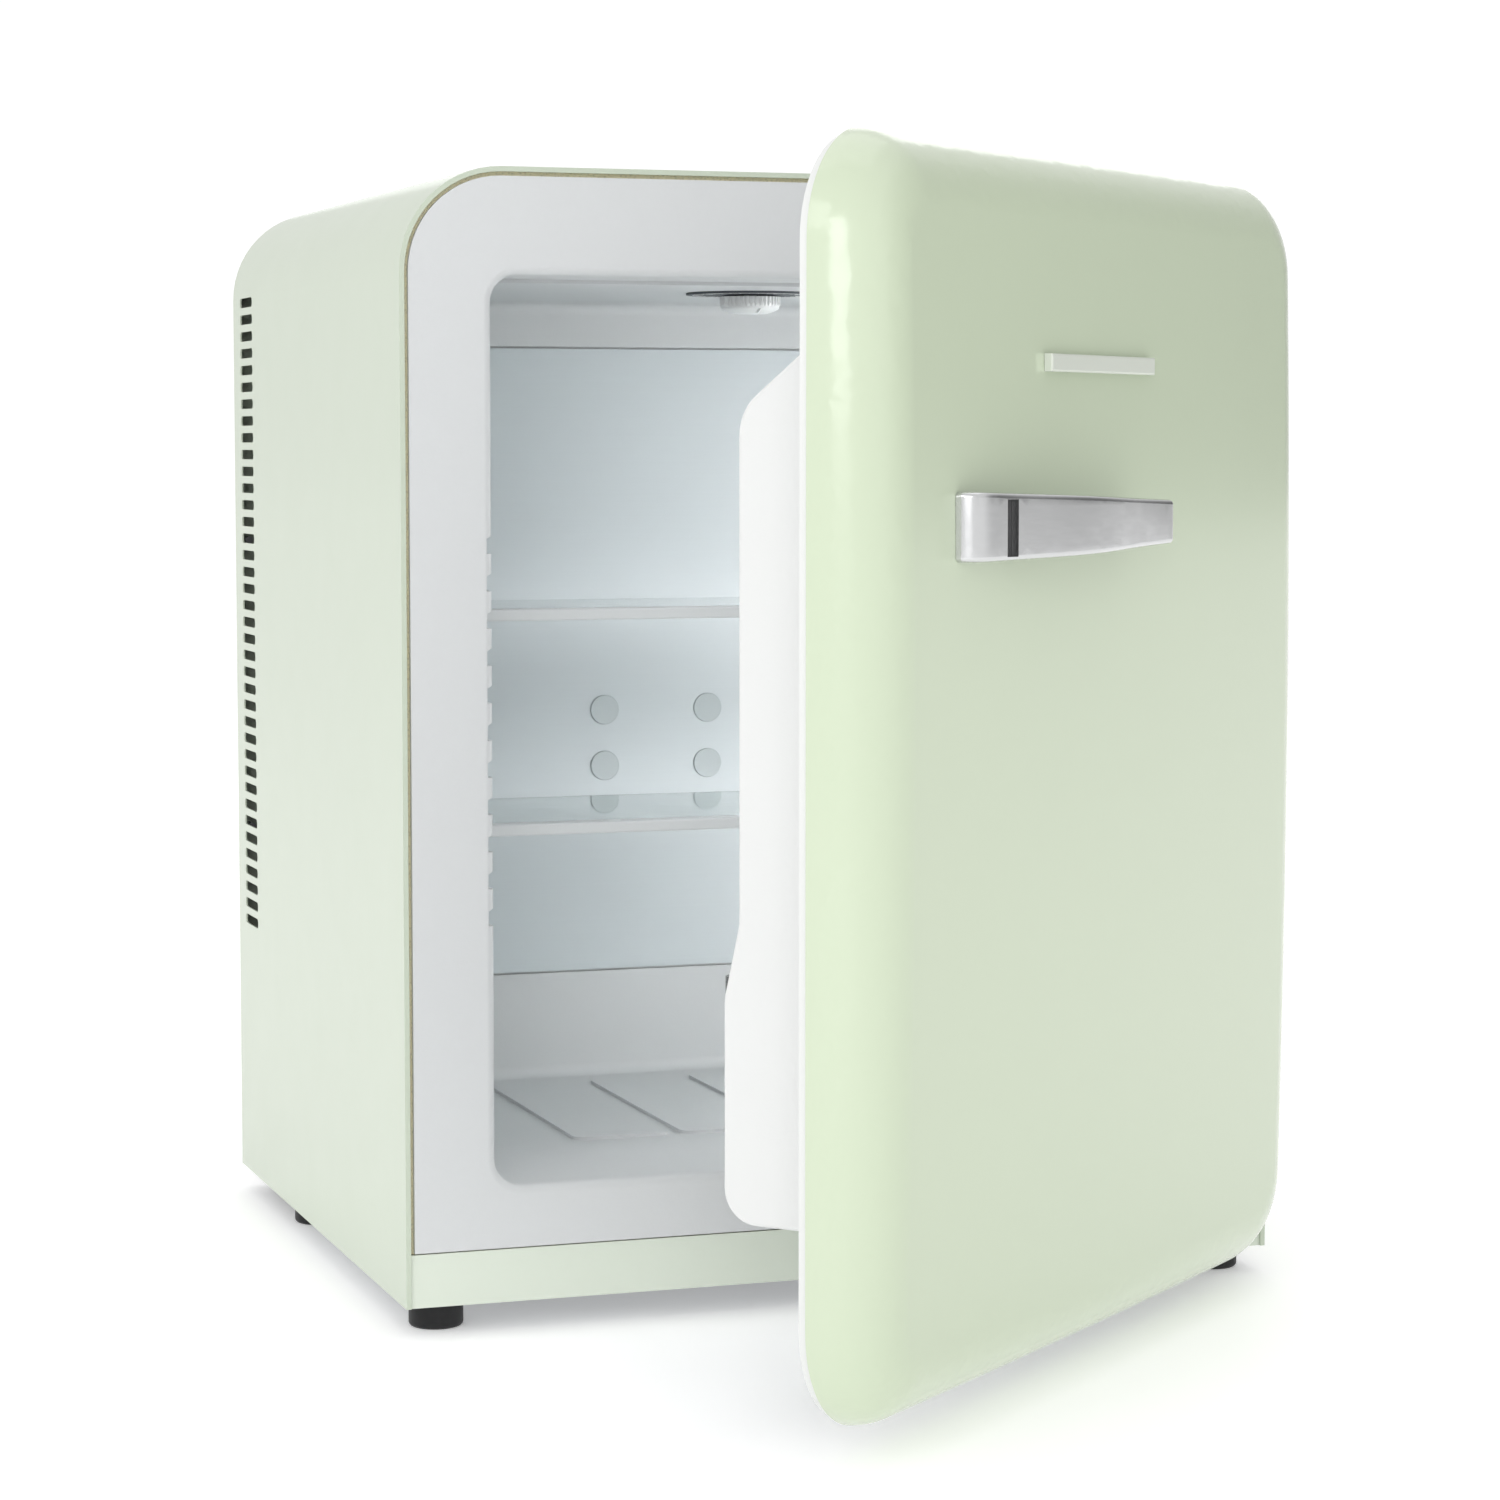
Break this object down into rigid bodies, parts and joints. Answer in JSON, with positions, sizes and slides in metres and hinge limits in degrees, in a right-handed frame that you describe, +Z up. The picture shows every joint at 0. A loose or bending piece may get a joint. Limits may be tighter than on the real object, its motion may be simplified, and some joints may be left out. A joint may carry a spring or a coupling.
{
  "type": "mini fridge",
  "caption": "Small cubic refrigerator with a hinged rounded door, door racks, glass shelves on grooves, ceiling thermostat knob, rear cold plate and a fan-cooled heat sink.",
  "frame": {"origin": "on the floor, under the middle of the cabinet shell's width and depth", "axes": "+Z up, -Y out of the door side, +X towards the hinge side; the door rests part open"},
  "size_m": [0.41, 0.6394, 0.502],
  "materials": {
    "painted_shell": "satin",
    "painted_plinth": "satin",
    "door_paint": "gloss",
    "galvanised_steel": "satin",
    "screw_steel": "satin",
    "hinge_steel": "satin",
    "pin_steel": "polished",
    "handle_chrome": "polished",
    "bar_chrome": "polished",
    "cold_aluminium": "satin",
    "block_aluminium": "satin",
    "sink_aluminium": "satin",
    "liner_plastic": "satin",
    "door_liner_plastic": "satin",
    "trim_plastic": "satin",
    "knob_plastic": "satin",
    "cap_plastic": "matte",
    "dial_plastic": "matte",
    "grey_plastic": "matte",
    "cover_plastic": "matte",
    "black_plastic": "matte",
    "fan_plastic": "matte",
    "rotor_plastic": "matte",
    "foot_rubber": "matte",
    "seal_rubber": "matte",
    "shelf_glass": "clear",
    "rack_clear": "clear",
    "module_ceramic": "matte",
    "board_resin": "satin",
    "supply_case": "satin",
    "insulation_foam": "matte"
  },
  "bodies": {
    "cabinet": {"outer_shell": "painted_shell", "front_plinth": "painted_plinth", "base_pan": "galvanised_steel", "rear_base_plate": "black_plastic", "inner_liner": "liner_plastic", "cabinet_foam": "insulation_foam", "foam_back_sheet": "grey_plastic", "cold_plate": "cold_aluminium", "panel_screw_caps": "cap_plastic", "panel_screws": "screw_steel", "thermostat_scale_plate": "dial_plastic", "thermostat_body": "grey_plastic", "cold_block": "block_aluminium", "peltier_module": "module_ceramic", "module_clamp_screws": "screw_steel", "hot_sink": "sink_aluminium", "fan_frame": "fan_plastic", "fan_screws": "screw_steel", "control_board": "board_resin", "power_supply": "supply_case", "power_inlet": "black_plastic", "rear_cover": "cover_plastic", "rear_cover_screws": "screw_steel", "hinge_bracket_upper": "hinge_steel", "hinge_bracket_lower": "hinge_steel", "hinge_pin_upper": "pin_steel", "hinge_pin_lower": "pin_steel", "hinge_backing_plates": "galvanised_steel", "hinge_screws": "screw_steel", "foot_front_left": "foot_rubber", "foot_front_right": "foot_rubber", "foot_rear_left": "foot_rubber", "foot_rear_right": "foot_rubber", "foot_screws": "screw_steel"},
    "door": {"door_outer_skin": "door_paint", "door_inner_liner": "door_liner_plastic", "door_foam": "insulation_foam", "door_gasket": "seal_rubber", "door_rack_upper": "rack_clear", "door_rack_lower": "rack_clear", "hinge_block_upper": "grey_plastic", "hinge_block_lower": "grey_plastic", "handle_lever": "handle_chrome", "handle_insert": "black_plastic", "handle_screws": "screw_steel", "badge_bar": "bar_chrome"},
    "thermostat": {"thermostat_knob": "knob_plastic"},
    "upper_shelf": {"upper_shelf_glass": "shelf_glass", "upper_shelf_trim": "trim_plastic"},
    "lower_shelf": {"lower_shelf_glass": "shelf_glass", "lower_shelf_trim": "trim_plastic"},
    "fan": {"fan_rotor": "rotor_plastic"}
  },
  "joints": [
    {"name": "door_hinge", "type": "hinge", "parent": "cabinet", "child": "door", "pos_m": [0.19, -0.2035, 0], "axis": [0, 0, 1], "range_deg": [-40.6, 70]},
    {"name": "knob_turn", "type": "hinge", "parent": "cabinet", "child": "thermostat", "pos_m": [-0.008, -0.0605, 0.445], "axis": [0, 0, 1], "range_deg": [0, 270]},
    {"name": "upper_shelf_slide", "type": "slide", "parent": "cabinet", "child": "upper_shelf", "axis": [0, -1, 0], "range_m": [0, 0.04]},
    {"name": "lower_shelf_slide", "type": "slide", "parent": "cabinet", "child": "lower_shelf", "axis": [0, -1, 0], "range_m": [0, 0.04]},
    {"name": "fan_spin", "type": "hinge", "parent": "cabinet", "child": "fan", "pos_m": [-0.0055, 0.16, 0.22343], "axis": [0, 1, 0], "continuous": true}
  ]
}
